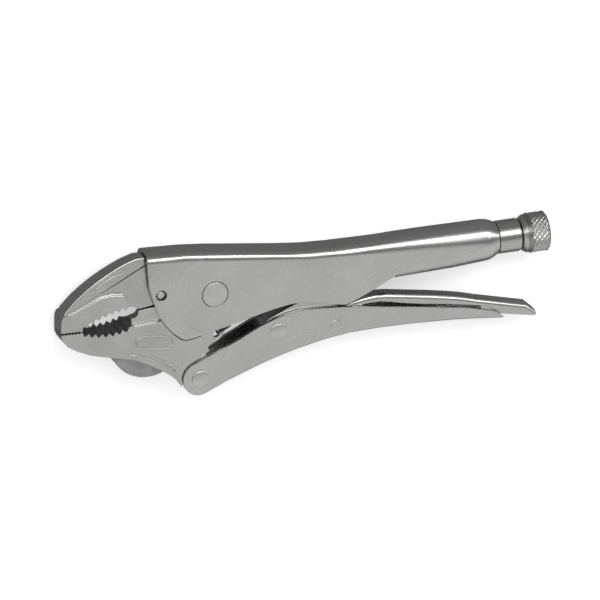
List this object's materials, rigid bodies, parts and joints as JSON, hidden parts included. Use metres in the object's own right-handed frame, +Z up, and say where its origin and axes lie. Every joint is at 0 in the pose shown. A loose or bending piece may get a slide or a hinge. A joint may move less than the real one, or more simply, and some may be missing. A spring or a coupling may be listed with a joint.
{
  "type": "locking pliers",
  "caption": "Locking pliers with curved toothed jaws, a stamped channel body, an over-centre toggle handle with a release lever, and an adjusting screw with a knurled knob.",
  "frame": {"origin": "centre of the model's footprint, at the height of the surface the pliers lie on", "axes": "+X runs along the adjusting screw from the nose to the knob, +Y from the lower handle to the spine of the body, +Z is up, through the thickness"},
  "size_m": [0.2464, 0.0762, 0.0195],
  "materials": {
    "plated_sheet": "satin nickel plate on stamped steel sheet",
    "plated_forging": "satin nickel plate on blasted forged steel",
    "rivet_metal": "nickel-plated rivets, slightly brighter",
    "screw_metal": "nickel-plated turned steel",
    "spring_steel": "oiled spring wire"
  },
  "bodies": {
    "frame": {"body": "plated_sheet", "threaded_bush": "screw_metal", "upper_jaw": "plated_forging", "jaw_pin": "rivet_metal", "main_rivet": "rivet_metal", "spring_hanger": "plated_sheet", "spring": "spring_steel"},
    "jaw": {"lower_jaw": "plated_forging", "handle_rivet": "rivet_metal"},
    "handle": {"lower_handle": "plated_sheet", "link_rivet": "rivet_metal", "release_pin": "rivet_metal"},
    "link": {"toggle_link": "plated_forging"},
    "lever": {"release_lever": "plated_sheet"},
    "screw": {"adjusting_screw": "screw_metal"},
    "knob": {"knurled_knob": "screw_metal"}
  },
  "joints": [
    {"name": "jaw_hinge", "type": "hinge", "parent": "frame", "child": "jaw", "pos_m": [-0.0463, 0.01418, 0.00975], "axis": [0, 0, 1], "range_deg": [0, 26], "deforming": ["spring"]},
    {"name": "handle_hinge", "type": "hinge", "parent": "jaw", "child": "handle", "pos_m": [-0.0538, -0.02952, 0.00975], "axis": [0, 0, 1], "range_deg": [-66, 0]},
    {"name": "link_hinge", "type": "hinge", "parent": "handle", "child": "link", "pos_m": [-0.0142, -0.01072, 0.00975], "axis": [0, 0, 1], "range_deg": [0, 74]},
    {"name": "release_hinge", "type": "hinge", "parent": "handle", "child": "lever", "pos_m": [0.0152, -0.01222, 0.00975], "axis": [0, 0, 1], "range_deg": [-1.6, 0]},
    {"name": "screw_slide", "type": "slide", "parent": "frame", "child": "screw", "axis": [1, 0, 0], "range_m": [0, 0.012]},
    {"name": "knob_spin", "type": "hinge", "parent": "screw", "child": "knob", "pos_m": [0.1137, 0.01888, 0.00975], "axis": [-1, 0, 0], "range_deg": [0, 2888]}
  ],
  "couplings": [
    {"joint": "handle_hinge", "follows": "jaw_hinge", "ratio": -2.5},
    {"joint": "link_hinge", "follows": "jaw_hinge", "ratio": 2.8},
    {"joint": "knob_spin", "follows": "screw_slide", "rad_per_m": 4188.8}
  ]
}
